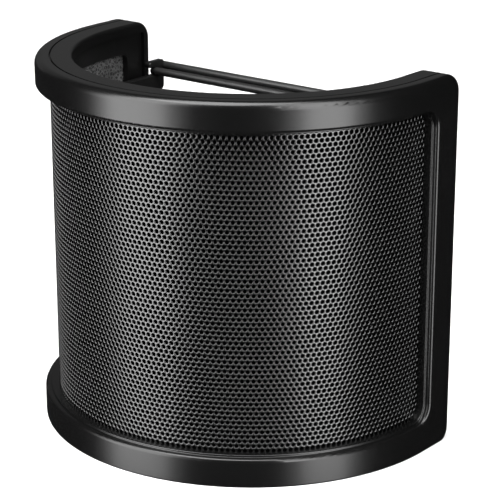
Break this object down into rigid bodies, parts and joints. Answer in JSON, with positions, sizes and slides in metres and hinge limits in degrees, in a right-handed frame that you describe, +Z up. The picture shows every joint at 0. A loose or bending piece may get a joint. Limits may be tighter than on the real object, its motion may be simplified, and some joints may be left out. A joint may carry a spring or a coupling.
{
  "type": "wrap-around pop filter",
  "caption": "U-shaped microphone pop filter: a perforated grille, etamine and foam wrapped in a two-part frame, with a sliding rod clamp at its open back.",
  "frame": {"origin": "middle of the overall box, on the face that the filter stands on", "axes": "+Z up, -Y towards the singer at the closed round front, +X across the open back"},
  "size_m": [0.118, 0.0784, 0.103],
  "materials": {
    "frame_gloss_black": "gloss",
    "frame_satin_black": "satin",
    "grille_steel": "satin",
    "etamine": "matte",
    "foam": "matte",
    "screw_steel": "satin",
    "arm_black": "satin",
    "silicone": "matte",
    "rod_steel": "gloss"
  },
  "bodies": {
    "shield": {"outer_frame": "frame_gloss_black", "inner_frame": "frame_satin_black", "front_grille": "grille_steel", "etamine_screen": "etamine", "foam_windscreen": "foam", "frame_screws": "screw_steel", "left_friction_pad": "silicone", "right_friction_pad": "silicone"},
    "carriage": {"left_arm": "arm_black", "right_arm": "arm_black", "front_rod": "rod_steel", "rear_rod": "rod_steel"}
  },
  "joints": [
    {"name": "carriage_slide", "type": "slide", "parent": "shield", "child": "carriage", "axis": [0, 1, 0], "range_m": [-0.01, 0.005]}
  ]
}
